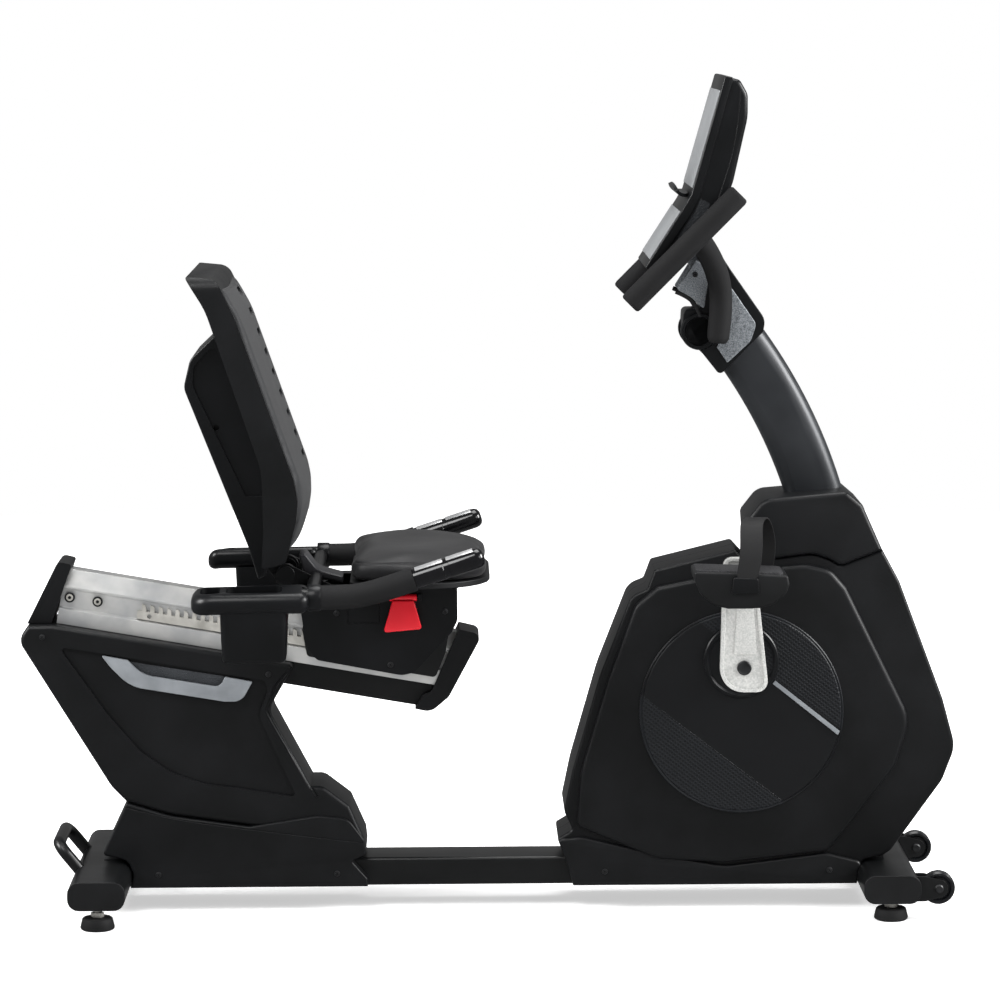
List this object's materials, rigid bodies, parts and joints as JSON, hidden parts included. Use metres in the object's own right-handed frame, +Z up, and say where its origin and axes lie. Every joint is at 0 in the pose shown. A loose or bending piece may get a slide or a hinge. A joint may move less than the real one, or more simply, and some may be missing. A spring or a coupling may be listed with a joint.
{
  "type": "recumbent exercise bike",
  "caption": "Recumbent exercise bike: a padded seat with backrest on a sloping slide rail, pedals on a belt driven flywheel in a shroud, and a console with handles on a curved mast.",
  "frame": {"origin": "on the floor under the middle of the bounding box", "axes": "+X forward from the seat to the console, +Y to the rider's left, +Z up"},
  "size_m": [1.6453, 0.65, 1.4716],
  "materials": {
    "frame_steel": "satin black powder coat",
    "cover_plastic": "fine texture",
    "disc_plastic": "smooth and dotted texture",
    "rail_aluminium": "brushed",
    "zinc_steel": "zinc plated",
    "silver_plastic": "satin silver",
    "bearing_steel": "ground",
    "brake_iron": "plain",
    "circuit_board": "lacquered",
    "belt_rubber": "matte",
    "bracket_metal": "satin",
    "grip_foam": "matte foam",
    "overlay_film": "satin film",
    "screw_steel": "black oxide",
    "glide_plastic": "plain",
    "seat_vinyl": "soft grained vinyl",
    "back_foam": "moulded skin foam",
    "grip_plastic": "gloss",
    "sensor_steel": "polished",
    "lever_metal": "gloss red",
    "foot_rubber": "matte",
    "wheel_plastic": "hard urethane",
    "crank_aluminium": "satin cast",
    "pedal_plastic": "textured"
  },
  "bodies": {
    "frame": {"main_beam": "frame_steel", "rear_stabilizer": "frame_steel", "front_stabilizer": "frame_steel", "stabilizer_caps": "cover_plastic", "wheel_brackets": "frame_steel", "carry_handle": "frame_steel", "base_covers": "cover_plastic", "post_covers": "cover_plastic", "accent_trims": "silver_plastic", "seat_frame": "frame_steel", "seat_rail": "rail_aluminium", "seat_rack": "zinc_steel", "rail_caps": "cover_plastic", "drive_frame": "frame_steel", "shroud_right": "cover_plastic", "shroud_left": "cover_plastic", "shroud_collar": "cover_plastic", "disc_covers": "disc_plastic", "drive_bearings": "bearing_steel", "brake_unit": "brake_iron", "control_board": "circuit_board", "drive_belt": "belt_rubber", "mast_tube": "frame_steel", "neck_covers": "cover_plastic", "console_bracket": "bracket_metal", "front_handlebar": "frame_steel", "front_grips": "grip_foam", "console_back": "cover_plastic", "console_front": "cover_plastic", "console_overlays": "overlay_film", "frame_screws": "screw_steel"},
    "carriage": {"carriage_frame": "frame_steel", "glide_pads": "glide_plastic", "carriage_covers": "cover_plastic", "seat_pan": "cover_plastic", "seat_cushion": "seat_vinyl", "side_handlebar": "frame_steel", "side_grips": "grip_plastic", "pulse_plates": "sensor_steel", "storage_pod_right": "cover_plastic", "storage_pod_left": "cover_plastic", "bracket_cover": "silver_plastic"},
    "backrest": {"backrest_arms": "frame_steel", "backrest_shell": "cover_plastic", "backrest_cushion": "back_foam", "backrest_rear_cover": "cover_plastic"},
    "lever": {"release_lever": "lever_metal"},
    "latch": {"latch_pin": "zinc_steel"},
    "foot_rr": {"foot_rear_right": "foot_rubber"},
    "foot_rl": {"foot_rear_left": "foot_rubber"},
    "foot_fr": {"foot_front_right": "foot_rubber"},
    "foot_fl": {"foot_front_left": "foot_rubber"},
    "roller_right": {"wheel_right": "wheel_plastic"},
    "roller_left": {"wheel_left": "wheel_plastic"},
    "crank": {"crank_spindle": "bearing_steel", "drive_pulley": "crank_aluminium", "crank_arms": "crank_aluminium"},
    "flywheel_set": {"flywheel": "brake_iron"},
    "pedal_r": {"pedal_right": "pedal_plastic"},
    "pedal_l": {"pedal_left": "pedal_plastic"}
  },
  "joints": [
    {"name": "seat_slide", "type": "slide", "parent": "frame", "child": "carriage", "axis": [0.9854, 0, -0.1702], "range_m": [-0.3, 0]},
    {"name": "backrest_recline", "type": "hinge", "parent": "carriage", "child": "backrest", "pos_m": [-0.352, 0, 0.6], "axis": [0, -1, 0], "range_deg": [-5, 15]},
    {"name": "lever_pull", "type": "hinge", "parent": "carriage", "child": "lever", "pos_m": [-0.145, -0.118, 0.566], "axis": [-1, 0, 0], "range_deg": [0, 25], "stiffness_Nm_per_rad": 0.05},
    {"name": "latch_lift", "type": "slide", "parent": "carriage", "child": "latch", "axis": [0.1702, 0, 0.9854], "range_m": [0, 0.0105]},
    {"name": "crank_spin", "type": "hinge", "parent": "frame", "child": "crank", "pos_m": [0.448, 0, 0.447], "axis": [0, 1, 0], "continuous": true},
    {"name": "flywheel_spin", "type": "hinge", "parent": "frame", "child": "flywheel_set", "pos_m": [0.348, 0, 0.232], "axis": [0, 1, 0], "continuous": true},
    {"name": "pedal_right_spin", "type": "hinge", "parent": "crank", "child": "pedal_r", "pos_m": [0.43937, 0, 0.61177], "axis": [0, 1, 0], "continuous": true},
    {"name": "pedal_left_spin", "type": "hinge", "parent": "crank", "child": "pedal_l", "pos_m": [0.45664, 0, 0.28223], "axis": [0, 1, 0], "continuous": true},
    {"name": "roller_right_spin", "type": "hinge", "parent": "frame", "child": "roller_right", "pos_m": [0.788, -0.182, 0.057], "axis": [0, 1, 0], "continuous": true},
    {"name": "roller_left_spin", "type": "hinge", "parent": "frame", "child": "roller_left", "pos_m": [0.788, 0.182, 0.057], "axis": [0, 1, 0], "continuous": true},
    {"name": "foot_rear_right_screw", "type": "slide", "parent": "frame", "child": "foot_rr", "axis": [0, 0, -1], "range_m": [0, 0.015]},
    {"name": "foot_rear_left_screw", "type": "slide", "parent": "frame", "child": "foot_rl", "axis": [0, 0, -1], "range_m": [0, 0.015]},
    {"name": "foot_front_right_screw", "type": "slide", "parent": "frame", "child": "foot_fr", "axis": [0, 0, -1], "range_m": [0, 0.015]},
    {"name": "foot_front_left_screw", "type": "slide", "parent": "frame", "child": "foot_fl", "axis": [0, 0, -1], "range_m": [0, 0.015]}
  ],
  "couplings": [
    {"joint": "latch_lift", "follows": "lever_pull", "m_per_rad": 0.0235},
    {"joint": "flywheel_spin", "follows": "crank_spin", "ratio": 5.6}
  ]
}
